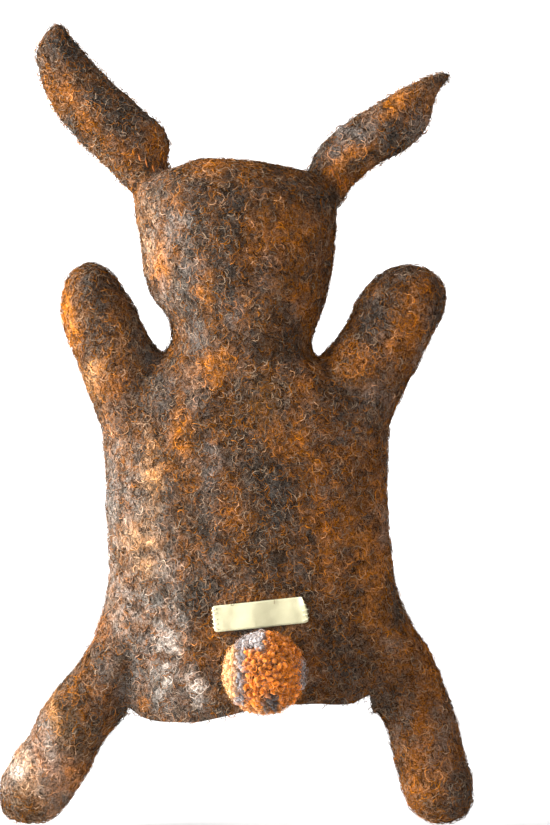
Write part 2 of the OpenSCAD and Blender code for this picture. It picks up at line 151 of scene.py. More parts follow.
LIMB_PATCHES = [
    # The first, broad pale patch is painted light on the left leg, the side that faces the window lamp.
    (98, -22, 15, 30, -30, "pale", 0.35), (108, -30, 8, 20, -20, "peach", 0.5),
    (-95, -20, 14, 34, 5, "rust", 0.4), (-72, 180, 14, 30, 15, "rust", 0.35),
    (66, 170, 14, 36, -20, "rust", 0.3), (72, 190, 9, 26, -10, "umber", 0.85),
    (55, 176, 6, 24, -20, "brown", 0.8), (85, 186, 5, 22, 0, "orange", 0.8),
    (75, 157, 6, 9, 0, "peach", 0.4), (78, 203, 7, 6, 0, "charcoal", 0.8),
    (62, 186, 4, 10, -20, "rust", 0.6), (-61, 186, 8, 16, 20, "charcoal", 0.9),
    (-79, 188, 6, 22, 10, "rust", 0.95), (-50, 168, 11, 8, 30, "rust", 0.8),
    (-77, 208, 6, 5, 0, "umber", 0.8), (-83, 177, 4, 12, 15, "grey", 0.6),
    (-70, 175, 4, 10, 20, "rust", 0.7), (84, -9, 9, 18, -30, "brown", 0.8),
    (82, -32, 8, 11, -25, "orange", 0.8), (112, -30, 6, 9, 0, "pale", 0.8),
    (107, -47, 8, 8, 0, "umber", 0.8), (95, 5, 4, 14, -20, "peach", 0.7),
    (98, -20, 4, 14, -25, "rust", 0.6), (-83, 0, 7, 32, 5, "rust", 0.85),
    (-68, 10, 6, 20, 10, "umber", 0.8), (-101, -38, 6, 13, 10, "charcoal", 0.9),
    (-81, -35, 5, 16, 5, "rust", 0.8), (-92, -12, 4, 14, 10, "grey", 0.5),
    (-91, -48, 5, 5, 0, "brown", 0.6),
]

# ---- outline rows: height, lowest x, highest x, depth ----
TORSO_ROWS = [
    (-12, -50, 48, 44), (-8, -56, 55, 50), (2, -63, 61, 52), (14, -74, 66, 53), (26, -82, 72, 55),
    (36, -80, 72.5, 56), (46, -75, 69.5, 57), (58, -71, 66.5, 58), (75, -68.8, 66.3, 58),
    (95, -66.9, 67.6, 58), (120, -66.7, 68.2, 56), (135, -67.5, 69.8, 55), (146, -69, 72, 53),
    (154, -62, 66, 51), (162, -46, 52, 50), (170, -31, 40, 52), (180, -29, 34, 54), (190, -30, 36, 54),
]
HEAD_ROWS = [
    (164, -24, 34, 46), (168, -28.4, 37.5, 53), (175, -29.3, 35.8, 56), (186, -33.6, 37.4, 60),
    (198, -37.2, 45, 64), (210, -40, 49, 67), (226, -41, 51.4, 68), (240, -42, 53.6, 66),
    (248, -41, 53, 60), (254, -34, 46, 50), (259, -17, 34, 36), (262, -3, 27, 20), (263.4, 7, 17, 6),
]
LEFT_ARM_ROWS = [
    (126, 36, 64, 36), (140, 38, 72, 38), (150, 40, 75, 38), (160, 40, 78.9, 36), (168, 40.5, 82.6, 35),
    (175, 45.6, 85.4, 34), (181, 49.6, 87.2, 34), (187, 52.6, 89, 33), (193, 55.2, 89.5, 32),
    (198, 58.2, 88.6, 31), (203.5, 61.4, 87.5, 28), (208, 65, 85, 24), (211, 68.5, 81, 17),
    (212.8, 73, 78, 7),
]
RIGHT_ARM_ROWS = [
    (126, -64, -34, 36), (140, -69, -32, 38), (150, -73, -31, 38), (158, -77, -31, 37),
    (163, -80.2, -31, 36), (169, -83.2, -36, 35), (175, -86.1, -41.3, 34), (181, -89, -45.3, 34),
    (187, -92, -48.7, 33), (193, -93.7, -51.3, 32), (198, -94.4, -54.3, 31), (203.5, -93.4, -59, 28),
    (207.5, -90, -63, 24), (210.5, -86, -69, 17), (212, -81, -75, 7),
]
LEFT_LEG_ROWS = [
    (46, 38, 62, 34), (36, 42, 71, 37), (28, 46, 76, 38), (20, 51, 81.5, 37), (13, 54.5, 87.8, 36),
    (7, 57, 92.4, 35), (2, 58, 96.2, 34), (-4, 61, 99.8, 33), (-10, 65.3, 102.4, 32), (-16, 69.7, 106, 31),
    (-21, 73, 111, 31), (-27, 75.8, 114, 30.5), (-33, 78.8, 117.3, 30), (-39, 82.3, 118.4, 29),
    (-45, 86.2, 118.4, 27), (-49.5, 90, 117.6, 22), (-53, 95, 113.5, 15), (-54.8, 101, 108, 6),
]
RIGHT_LEG_ROWS = [
    (46, -66, -42, 34), (36, -80, -46, 37), (28, -86.5, -51, 38), (20, -90, -55, 37),
    (13, -92.9, -58.5, 36), (7, -95, -59.6, 35), (2, -97.2, -59.9, 34), (-4, -98.8, -64.3, 33),
    (-10, -100.5, -67.3, 32), (-16, -102.2, -68.8, 31), (-21, -103.5, -70.2, 31), (-27, -105, -71.6, 30.5),
    (-33, -106.9, -73.4, 30), (-39, -107.4, -74.2, 29), (-45, -107.3, -76.6, 27),
    (-49.5, -105.2, -79.5, 22), (-53, -100.5, -84.5, 15), (-54.8, -95, -89.5, 6),
]
LEFT_EAR_ROWS = [
    (244, 37, 51, 11), (252, 37, 61, 9.5), (258, 38, 67, 8.5), (264, 37.6, 73.4, 8), (270, 37, 80, 8),
    (276, 38, 85.4, 8), (282, 43, 90.4, 8), (288, 50.4, 94.4, 8), (294, 56.4, 97.6, 7.5),
    (300, 63.6, 100, 7.5), (306, 69.6, 101.4, 7), (312, 75.4, 102.8, 7), (318, 80.4, 101.6, 6.5),
    (323, 85, 98.6, 6), (327, 88, 95.6, 5), (329, 90.4, 93.4, 3),
]
RIGHT_EAR_ROWS = [
    (242, -45, -34, 11), (250, -50, -30, 9.5), (255.5, -56.2, -28.4, 8.5), (261, -63.4, -29.6, 8),
    (267, -75.6, -32, 8), (272.6, -82.4, -36, 8), (278.4, -86.8, -42.6, 8), (284, -88.8, -50.6, 7.5),
    (290, -90.2, -60.4, 7), (295.7, -92, -69.6, 7), (299.5, -94.8, -77, 6), (302.2, -97, -82.8, 5.5),
    (304.5, -97.8, -89, 4), (305.8, -96.6, -93, 2.5),
]
# The hem from the puppet's left to its right: x, height
HEM = [(58, 2.4), (52, -3.6), (42, -5.3), (23, -4.8), (6, -1), (-6, 2), (-25, 3.8), (-49, 2.6), (-60, 8)]

VOXEL = 1.5 * MM
FELT = 3.2 * MM
EAR_FELT = 1.3 * MM
ARM_NORMAL = (0.62, 0.785)
ARM_CUT = {PUPPET_LEFT: 154.8, PUPPET_RIGHT: 149.4}
ARM_STEP = 15
LEG_NORMAL = (0.846, -0.533)
LEG_CUTS = {PUPPET_LEFT: (47.4, 60, 74), PUPPET_RIGHT: (46.0, 59, 73)}
NECK_CUTS = (167.5, 175, 182.5, 196)
CROTCH_X = {PUPPET_LEFT: 39.4, PUPPET_RIGHT: 30.7}
CROTCH_Z = 166.1
EAR_LEAN = {PUPPET_LEFT: 33, PUPPET_RIGHT: 48}
EAR_LOWEST = 238         # mm; the raised paws end below this
HEM_EASING = 20
LABEL_W, LABEL_H = 44.5 * MM, 12.5 * MM
LABEL_RAISE = 1.2 * MM   # the ribbon sits this far above the middle of the label's node
FIBRES_PER_M2 = 600_000.0
FIBRES_PER_PIECE = 7000


def box_of(name):
    """The middle of a CAD node's box, and half its size."""
    low, high = (Vector(c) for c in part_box(name))
    return (low + high) / 2, (high - low) / 2


tail_at, tail_size = box_of("tail_pompom")
tail_at -= Vector((0, 1.6 * MM, 0))   # pressed lightly into the felt
tail_r = tail_size.x
eye_at = {side: box_of(f"{word}_eye")[0] for side, word in SIDE_NAMES.items()}
eye_r = box_of("left_eye")[1].x
nose_at, nose_size = box_of("nose")
label_at, _ = box_of("label")


# ---- mesh helpers ----

def mesh_object(name, points, faces):
    """A new object from points in metres."""
    mesh = bpy.data.meshes.new(name)
    mesh.from_pydata([tuple(p) for p in points], [], [tuple(int(i) for i in f) for f in faces])
    mesh.update()
    mesh.shade_smooth()
    made = bpy.data.objects.new(name, mesh)
    bpy.context.scene.collection.objects.link(made)
    return made


def remove(obj):
    mesh = obj.data
    bpy.data.objects.remove(obj)
    bpy.data.meshes.remove(mesh)


def bake(obj):
    """Turns an object with modifiers into a plain mesh."""
    evaluated = obj.evaluated_get(bpy.context.evaluated_depsgraph_get())
    mesh = bpy.data.meshes.new_from_object(evaluated)
    mesh.name = obj.name
    obj.modifiers.clear()
    old = obj.data
    obj.data = mesh
    bpy.data.meshes.remove(old)
    return obj


def smooth_rows(rows, step=1.6):
    """Points on a smooth curve through the rows, about a step apart."""
    rows = np.array(rows, float)
    gaps = np.linalg.norm(np.diff(rows[:, :3], axis=0), axis=1)
    along = np.concatenate([[0], np.cumsum(gaps)])
    slope = np.gradient(rows, along, axis=0)
    out = []
    for i, gap in enumerate(gaps):
        for t in np.arange(0, 1, step / max(gap, step)):
            a, b = 2 * t ** 3 - 3 * t ** 2 + 1, t ** 3 - 2 * t ** 2 + t
            c, d = 3 * t ** 2 - 2 * t ** 3, t ** 3 - t ** 2
            out.append(a * rows[i] + b * gap * slope[i] + c * rows[i + 1] + d * gap * slope[i + 1])
    return np.array(out + [rows[-1]])


def loft(rows, y=0, power=2.0, curl=0, sides=64):
    """A closed form through level slices. A power over 2 squares a slice, and curl bends rims forward."""
    points, faces = [], []
    dense = smooth_rows(rows)
    turn = np.arange(sides) / sides * 2 * math.pi
    across = np.sign(np.cos(turn)) * np.abs(np.cos(turn)) ** (2 / power)
    deep = np.sign(np.sin(turn)) * np.abs(np.sin(turn)) ** (2 / power)
    for z, low, high, depth in dense:
        x = (low + high) / 2 + across * (high - low) / 2
        forward = y + deep * depth / 2 - curl * (across ** 2)
        points += [(a * MM, b * MM, z * MM) for a, b in zip(x, forward)]
    rings = len(dense)
    for i in range(rings - 1):
        for j in range(sides):
            k = (j + 1) % sides
            faces.append((i * sides + j, i * sides + k, (i + 1) * sides + k, (i + 1) * sides + j))
    faces.append(tuple(range(sides))[::-1])
    faces.append(tuple(range((rings - 1) * sides, rings * sides)))
    return points, faces


def ball(centre, radii, rings=20, sides=32):
    """A closed ellipsoid, in millimetres."""
    rows = [math.pi * (i + 0.5) / rings for i in range(rings)]
    points = [(MM * (centre[0] + radii[0] * math.sin(a) * math.cos(2 * math.pi * j / sides)),
               MM * (centre[1] + radii[1] * math.sin(a) * math.sin(2 * math.pi * j / sides)),
               MM * (centre[2] - radii[2] * math.cos(a))) for a in rows for j in range(sides)]
    faces = [(i * sides + j, i * sides + k, (i + 1) * sides + k, (i + 1) * sides + j)
             for i in range(rings - 1) for j, k in zip(range(sides), [*range(1, sides), 0])]
    faces += [tuple(range(sides))[::-1], tuple(range((rings - 1) * sides, rings * sides))]
    return points, faces


def tube(path, radii, sides=6):
    """A closed round tube along points in metres."""
    path = [Vector(p) for p in path]
    points, faces = [], []
    up = Vector((0.31, 0.52, 0.79))
    for i, p in enumerate(path):
        ahead = (path[min(i + 1, len(path) - 1)] - path[max(i - 1, 0)]).normalized()
        across = ahead.cross(up).normalized()
        up = across.cross(ahead).normalized()
        radius = radii[i] if hasattr(radii, "__len__") else radii
        for j in range(sides):
            a = 2 * math.pi * j / sides
            points.append(p + radius * (math.cos(a) * across + math.sin(a) * up))
    for i in range(len(path) - 1):
        for j in range(sides):
            k = (j + 1) % sides
            faces.append((i * sides + j, (i + 1) * sides + j, (i + 1) * sides + k, i * sides + k))
    faces += [tuple(range(sides)), tuple(range((len(path) - 1) * sides, len(path) * sides))[::-1]]
    return points, faces


def gathered(parts):
    """Several (points, faces) as one."""
    points, faces = [], []
    for more, their in parts:
        faces += [tuple(i + len(points) for i in f) for f in their]
        points += list(more)
    return points, faces


# ---- the skin ----

def skin_mesh():
    """All the felt as one closed surface with soft creases where limbs meet the body."""
    parts = [
        loft(TORSO_ROWS, power=2.15), loft(HEAD_ROWS, y=-1, power=2.1),
        loft(LEFT_ARM_ROWS, power=2.2), loft(RIGHT_ARM_ROWS, power=2.2),
        loft(LEFT_LEG_ROWS, power=2.1), loft(RIGHT_LEG_ROWS, power=2.1),
        loft(LEFT_EAR_ROWS, y=-1, curl=4), loft(RIGHT_EAR_ROWS, y=-1, curl=4),
        ball((5.5, -18, 208), (28, 17, 22)), ball((5.5, -30, 205), (20, 17, 16)),
        ball((5.5, -41, 203.5), (13, 9.5, 10.5)), ball((18, -24, 203), (17, 13, 15)),
        ball((-7, -24, 203), (17, 13, 15)),
    ]
    skin = mesh_object("skin", *gathered(parts))
    melt = skin.modifiers.new("melt", "REMESH")
    melt.mode = "VOXEL"
    melt.voxel_size = VOXEL
    relax = skin.modifiers.new("relax", "SMOOTH")
    relax.factor = 0.5
    relax.iterations = 9
    bake(skin)
    mesh = bmesh.new()
    mesh.from_mesh(skin.data)
    keep_biggest(mesh)
    mesh.to_mesh(skin.data)
    mesh.free()
    return skin


def keep_biggest(mesh):
    """Drops any shell that the melt left inside."""
    left = set(mesh.verts)
    biggest = []
    while left:
        shell, edge = [], [left.pop()]
        while edge:
            v = edge.pop()
            shell.append(v)
            for e in v.link_edges:
                o = e.other_vert(v)
                if o in left:
                    left.remove(o)
                    edge.append(o)
        if len(shell) > len(biggest):
            biggest = shell
    chosen = set(biggest)
    bmesh.ops.delete(mesh, geom=[v for v in mesh.verts if v not in chosen], context="VERTS")


def mesh_points(mesh):
    out = np.empty(len(mesh.vertices) * 3)
    mesh.vertices.foreach_get("co", out)
    return out.reshape(-1, 3)


def mesh_normals(mesh):
    out = np.empty(len(mesh.vertices) * 3)
    mesh.vertex_normals.foreach_get("vector", out)
    return out.reshape(-1, 3)


def carry(mesh, name, values):
    """Puts a number or a colour on each point of a mesh, under this name."""
    coloured = values.ndim > 1
    layer = mesh.attributes.new(name, "FLOAT_COLOR" if coloured else "FLOAT", "POINT")
    layer.data.foreach_set("color" if coloured else "value", values.astype(np.float32).ravel())


def carried(mesh, name):
    """What the points of a mesh carry under this name."""
    layer = mesh.attributes[name]
    coloured = layer.data_type == "FLOAT_COLOR"
    values = np.empty(len(mesh.vertices) * (4 if coloured else 1))
    layer.data.foreach_get("color" if coloured else "value", values)
    return values.reshape(-1, 4) if coloured else values


def faces_of(mesh, chosen):
    """The points that these faces use, and the faces numbered by them."""
    faces = [tuple(mesh.polygons[i].vertices) for i in chosen]
    used = sorted({v for f in faces for v in f})
    place = {v: i for i, v in enumerate(used)}
    return used, [tuple(place[v] for v in f) for f in faces]


def lump(skin):
    """Hand-felted wool is uneven: broad lumps and small dimples, fainter on the thin ears."""
    points, normals = mesh_points(skin.data), mesh_normals(skin.data)
    thin = np.clip((points[:, 2] - 0.245) / 0.02, 0, 1)
    for i, (p, n) in enumerate(zip(points, normals)):
        broad = noise.noise(Vector(p) * 55)
        small = noise.noise(Vector(p) * 230)
        points[i] = p + n * MM * (1 - 0.6 * thin[i]) * (0.9 * broad + 0.28 * small)
    skin.data.vertices.foreach_set("co", points.ravel())
    skin.data.update()


def drift(points, scale, offset=(0, 0, 0)):
    """Smooth noise at each point."""
    return np.array([noise.noise(Vector(p)) for p in points * scale + offset])


def toned(colour, tone, share):
    """A colour with a share of another mixed in, point by point."""
    return colour * (1 - share[:, None]) + tone * share[:, None]


def paint(points, normals):
    """The colour of the wool at each point. Patches are read from the back, and mirrored on the front."""
    x, z = points[:, 0] / MM, points[:, 2] / MM
    front = normals[:, 1] < 0
    streak = np.array([noise.fractal(Vector(p), 0.8, 2.1, 4) for p in points * (75, 60, 34)])
    wisp = np.array([noise.fractal(Vector(p) * 190, 0.7, 2.2, 3) for p in points])
    speck = np.array([noise.noise(Vector(p) * 330) for p in points])
    cloud = drift(points, (110, 90, 60), (7, 0, 3))
    warm = drift(points, (150, 120, 80), (3, 8, 0))
    tone = {k: np.array(v) for k, v in WOOL.items()}
    rusty = np.clip(0.42 + 1.5 * streak, 0, 1)
    colour = toned(tone["charcoal"], 0.6 * tone["rust"] + 0.4 * tone["brown"], rusty)
    colour = toned(colour, tone["umber"], 0.45 * np.clip(0.2 + 1.5 * cloud, 0, 1))
    colour = toned(colour, tone["umber"], 1 - np.clip(0.55 + 1.5 * speck, 0, 1))
    colour = toned(colour, tone["grey"], 0.4 * np.clip(-0.1 + 1.4 * warm, 0, 1))
    tufts = np.clip(0.62 + 1.7 * wisp, 0.12, 1)
    x = x + 5 * drift(points, (120, 120, 90), (0, 0, 9))
    z = z + 7 * drift(points, (120, 120, 90), (5, 0, 0))
    limb = (np.abs(x) > 62) | (z > 252) | ((z > 175) & (np.abs(x - 4) > 52))
    tufts = np.where(limb, 0.45 + 0.55 * tufts, tufts)
    for patch in BODY_PATCHES + HEAD_PATCHES + EAR_PATCHES + LIMB_PATCHES:
        cx, cz, half_w, half_h, tilt, name, strength = patch
        a = math.radians(tilt)
        side = np.where(front & (abs(cx) < 45) & (cz > 0), -1, 1)
        dx, dz = x - side * cx, z - cz
        u = (dx * math.cos(a) + dz * math.sin(a)) / half_w
        v = (dz * math.cos(a) - dx * math.sin(a)) / half_h
        colour = toned(colour, tone[name], strength * tufts * np.exp(-((u * u + v * v) ** 1.4)))
    on_muzzle = np.clip((-points[:, 1] / MM - 35) / 6, 0, 1) * (z > 180)
    colour = toned(colour, tone["peach"], 0.6 * tufts * on_muzzle)
    lining = np.array([name.endswith("lining") for name in regions(points, normals)])
    return toned(colour, tone["peach"], np.where(lining, 0.8 * tufts, 0))


# ---- pieces of the skin ----

def plane(points, normal, side):
    """Distance along a plane's normal in millimetres, on the puppet's left or right."""
    return (side * points[:, 0] * normal[0] + points[:, 2] * normal[1]) / MM


def regions(centres, normals):
    """The name of the piece that each face belongs to."""
    x, z = centres[:, 0] / MM, centres[:, 2] / MM
    out = np.full(len(centres), "body", dtype=object)
    for low, name in zip(NECK_CUTS, ("neck_turn", "neck_tilt", "head")):
        out[z > low] = name
    for side, word in SIDE_NAMES.items():
        beside = side * x > CROTCH_X[side] + 0.42 * (z - CROTCH_Z)
        arm = plane(centres, ARM_NORMAL, side)
        on_arm = beside & (arm > ARM_CUT[side]) & (z < 220)
        out[on_arm] = f"{word}_shoulder"
        out[on_arm & (arm > ARM_CUT[side] + ARM_STEP)] = f"{word}_arm"
        leg = plane(centres, LEG_NORMAL, side)
        cuts = LEG_CUTS[side]
        out[(side * x > 0) & (z < 60) & (leg > cuts[0])] = f"{word}_hip"
        out[(side * x > 0) & (z < 60) & (leg > cuts[1])] = f"{word}_leg"
        root, axis = ear_line(side)
        up = (centres - np.array(root)) @ np.array(axis) / MM
        ear = (side * x > 24) & (z > EAR_LOWEST) & (up > ear_cut(side))
        lining = normals[:, 1] < -0.1
        out[ear] = f"{word}_ear"
        out[ear & lining] = f"{word}_ear_lining"
    return out


def ear_line(side):
    """The root of an ear and the way it points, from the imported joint."""
    joints = frame["record"]["behaviour"]["joints"]
    joint = next(j for j in joints if j["name"] == f"{SIDE_NAMES[side]}_ear_flop")
    lean = math.radians(EAR_LEAN[side])
    return Vector(joint["pos_m"]), Vector((side * math.sin(lean), 0, math.cos(lean)))


def ear_cut(side):
    """Where the ear's piece starts, in millimetres along the ear."""
    return 2 if side == PUPPET_LEFT else 3


def hem_height(x):
    """Height of the hem at x, in millimetres."""
    xs, zs = zip(*sorted(HEM))
    return np.interp(x, xs, zs)


def cut_hem(skin):
    """Opens the bottom for the hand, and eases the cut edge into one line."""
    mesh = bmesh.new()
    mesh.from_mesh(skin.data)
    low, high = HEM[-1][0], HEM[0][0]
    gone = []
    for face in mesh.faces:
        c = face.calc_center_median() / MM
        if low < c.x < high and c.z < hem_height(c.x) and c.z < 12:
            gone.append(face)
    bmesh.ops.delete(mesh, geom=gone, context="FACES")
    spurs = [f for f in mesh.faces if sum(e.is_boundary for e in f.edges) > 1]
    bmesh.ops.delete(mesh, geom=spurs, context="FACES")
    for _ in range(HEM_EASING):
        rim = {v: sum((e.other_vert(v).co for e in v.link_edges if e.is_boundary), Vector()) / 2
               for v in mesh.verts if v.is_boundary}
        for v, middle in rim.items():
            v.co = v.co.lerp(middle, 0.5)
    mesh.to_mesh(skin.data)
    mesh.free()


def cut_out(skin, chosen, name, wall):
    """One piece of the skin: its outer face, an inner face a wall's thickness in, and the rims between."""
    mesh = skin.data
    used, outer = faces_of(mesh, chosen)
    n = len(used)
    pts, nrm, col = mesh_points(mesh)[used], mesh_normals(mesh)[used], carried(mesh, "wool")[used]
    edges = {(a, b): True for f in outer for a, b in zip(f, f[1:] + f[:1])}
    inner = [tuple(n + v for v in reversed(f)) for f in outer]
    rims = [(b, a, n + a, n + b) for a, b in edges if (b, a) not in edges]
    pts = np.concatenate([pts, pts - nrm * wall])
    made = mesh_object(name, pts, outer + inner + rims)
    loops = np.empty((len(made.data.loops), 3))
    flat = np.array([v for f in outer + inner for v in f])
    loops[:len(flat)] = np.concatenate([nrm, -nrm])[flat]
    at = len(flat)
    for f in rims:
        side = np.cross(pts[f[1]] - pts[f[0]], pts[f[3]] - pts[f[0]])
        loops[at:at + 4] = side / max(np.linalg.norm(side), 1e-12)
        at += 4
    made.data.normals_split_custom_set([tuple(v) for v in loops])
    # The inner face carries the wool colour at 0.8, painted shade inside the felt.
    carry(made.data, "wool", np.concatenate([col, col * 0.8]))
    return made


# ---- shader and geometry nodes ----

def feed(node, values):
    """Links or sets inputs of a node, each given by number or by name. A node gives its first output."""
    for key, value in values.items():
        place = node.inputs[key] if isinstance(key, int) else next(
            s for s in node.inputs if s.name == key and s.enabled)
        if isinstance(value, bpy.types.Node):
            value = next(s for s in value.outputs if s.enabled)
        if isinstance(value, bpy.types.NodeSocket):
            node.id_data.links.new(value, place)
        else:
            place.default_value = value


def add(tree, kind, values=None, **properties):
    """A new node with these properties and inputs."""
    made = tree.nodes.new(kind)
    for name, value in properties.items():
        setattr(made, name, value)
    feed(made, values or {})
    return made


def maths(tree, operation, *numbers):
    return add(tree, "ShaderNodeMath", dict(enumerate(numbers)), operation=operation)


def ranged(tree, value, low, high, to_low, to_high):
    return add(tree, "ShaderNodeMapRange",
               {"Value": value, "From Min": low, "From Max": high, "To Min": to_low, "To Max": to_high})


def mixed(tree, share, first, second):
    return add(tree, "ShaderNodeMix", {"Factor": share, "A": first, "B": second}, data_type="RGBA")


def scaled(tree, colour, amount):
    return add(tree, "ShaderNodeVectorMath", {0: colour, "Scale": amount}, operation="SCALE")


def painted(tree, name):
    """The colour and the number that the mesh carries under this name."""
    made = add(tree, "ShaderNodeAttribute", attribute_name=name)
    return made.outputs["Color"], made.outputs["Fac"]


def noise_at(tree, **values):
    """Noise in the piece's own space."""
    where = add(tree, "ShaderNodeTexCoord").outputs["Object"]
    return add(tree, "ShaderNodeTexNoise", {"Vector": where, **values})


# ---- loose fibres ----

def fibre_shapes():
    """A few curly fibres that lie along the felt, each a thin closed tube."""
    made = []
    for i, (length, bend, lift, width) in enumerate([
            (3.0, 1.0, 0.45, 0.17), (3.8, -1.5, 0.55, 0.15), (2.4, 1.3, 0.4, 0.18), (4.4, 1.2, 0.45, 0.15),
            (2.8, -0.8, 0.85, 0.14), (3.4, -1.9, 0.45, 0.15), (5.2, 2.3, 0.8, 0.08), (6.2, -2.6, 0.9, 0.08),
            (4.6, 1.9, 1.1, 0.07)]):
        path = []
        for t in np.linspace(0, 1, 4 if length < 4.5 else 5):
            swing = bend * math.sin(math.pi * t) + 0.3 * math.sin(5 * t + i)
            rise = lift * math.sin(math.pi * (0.1 + 0.85 * t)) - 0.05
            path.append(((t - 0.3) * length * MM, swing * MM, rise * MM))
        made.append(mesh_object(f"fibre_{i}", *tube(path, width * MM, sides=3)))
    return made


def yarn_shapes():
    """Short curled ends of thick yarn that stand up from the pompom's heart."""
    made = []
    for i, (curl, reach) in enumerate([(0.7, 0.6), (1.0, 0.0), (0.8, 1.0), (1.2, 0.3)]):
        path = []
        for step in range(8):
            t = step / 7
            a = 2.2 * math.pi * t + i
            rise = (7 + reach) * t - 7
            path.append((curl * t * math.cos(a) * MM, curl * t * math.sin(a) * MM, rise * MM))
        radii = [MM * r for r in (0.8, 1.0, 1.15, 1.25, 1.35, 1.35, 1.15, 0.6)]
        made.append(mesh_object(f"yarn_{i}", *tube(path, radii, sides=6)))
    return made


def scatter_tree(name, shapes, tilt_low, tilt_high, even):
    """Geometry Nodes that scatter shapes over a surface, turned between two tilts, evenly or at random."""
    tree = bpy.data.node_groups.new(name, "GeometryNodeTree")
    for label, kind, usual in (
            ("Felt", "Geometry", None), ("Fibres per square metre", "Float", 0),
            ("Least gap", "Float", 0.002), ("Shortest", "Float", 0.6), ("Longest", "Float", 1.25),
            ("Seed", "Int", 0), ("Material", "Material", None)):
        made = tree.interface.new_socket(label, in_out="INPUT", socket_type=f"NodeSocket{kind}")
        if usual:
            made.default_value = usual
    tree.interface.new_socket("Fibres", in_out="OUTPUT", socket_type="NodeSocketGeometry")
    given = add(tree, "NodeGroupInput").outputs
    dense, seed = given["Fibres per square metre"], given["Seed"]
    if even:
        amount = {"Distance Min": given["Least gap"], "Density Max": dense}
    else:
        cover = add(tree, "GeometryNodeInputNamedAttribute", {"Name": "cover"}, data_type="FLOAT")
        amount = {"Density": maths(tree, "MULTIPLY", dense, cover)}
    scatter = add(tree, "GeometryNodeDistributePointsOnFaces",
                  {"Mesh": given["Felt"], "Seed": seed, **amount},
                  distribute_method="POISSON" if even else "RANDOM")
    chance = add(tree, "FunctionNodeRandomValue", {"Seed": seed}, data_type="FLOAT")
    shade = add(tree, "GeometryNodeStoreNamedAttribute",
                {"Geometry": scatter, "Name": "shade", "Value": chance},
                data_type="FLOAT", domain="POINT")
    joined = add(tree, "GeometryNodeJoinGeometry")
    for shape in shapes:
        info = add(tree, "GeometryNodeObjectInfo", {"Object": shape, "As Instance": True})
        feed(joined, {"Geometry": info.outputs["Geometry"]})
    spin = add(tree, "FunctionNodeRandomValue", {"Min": (*tilt_low, 0), "Max": (*tilt_high, 2 * math.pi)},
               data_type="FLOAT_VECTOR")
    spun = add(tree, "FunctionNodeEulerToRotation", {"Euler": spin})
    turn = add(tree, "FunctionNodeRotateRotation",
               {"Rotation": scatter.outputs["Rotation"], "Rotate By": spun}, rotation_space="LOCAL")
    size = add(tree, "FunctionNodeRandomValue", {"Min": given["Shortest"], "Max": given["Longest"]},
               data_type="FLOAT")
    place = add(tree, "GeometryNodeInstanceOnPoints",
                {"Points": shade, "Instance": joined, "Pick Instance": True, "Rotation": turn, "Scale": size})
    real = add(tree, "GeometryNodeRealizeInstances", {"Geometry": place})
    finish = add(tree, "GeometryNodeSetMaterial", {"Geometry": real, "Material": given["Material"]})
    feed(add(tree, "NodeGroupOutput"), {"Fibres": finish})
    return tree


def run_nodes(obj, tree, values):
    """Puts a tree on an object with these input values, and keeps the result as a plain mesh."""
    nodes = obj.modifiers.new("nodes", "NODES")
    nodes.node_group = tree
    for item in tree.interface.items_tree:
        if item.item_type == "SOCKET" and item.in_out == "INPUT" and item.name in values:
            nodes[item.identifier] = values[item.name]
    return bake(obj)


def fuzz(skin, chosen, name, tree, material, seed):
    """The loose fibres of one piece."""
    used, faces = faces_of(skin.data, chosen)
    made = mesh_object(name, mesh_points(skin.data)[used], faces)
    for layer in ("wool", "cover"):
        carry(made.data, layer, carried(skin.data, layer)[used])
    run_nodes(made, tree, {"Fibres per square metre": FIBRES_PER_M2, "Seed": seed, "Material": material})
    made.data.shade_smooth()
    return made


def covered(points):
    """How much of the loose fibre grows at each point: none under the label or at the eyes and nose."""
    out = np.ones(len(points))
    bare = [(eye_at[side], eye_r) for side in SIDE_NAMES] + [(nose_at, nose_size.x)]
    for centre, reach in bare:
        away = np.linalg.norm(points - np.array(centre), axis=1)
        out *= np.clip((away - reach - 1.5 * MM) / (2 * MM) + 0.5, 0.02, 1)
    under = ((np.abs(points[:, 0] - label_at.x) < 21 * MM) & (np.abs(points[:, 2] - label_at.z) < 6 * MM)
             & (points[:, 1] > 0))
    out[under] = 0
    return out


# ---- materials ----

def new_material(name):
    """A new material, its nodes and the shader among them."""
    material = bpy.data.materials.new(name)
    material.use_nodes = True
    return material, material.node_tree, material.node_tree.nodes["Principled BSDF"]


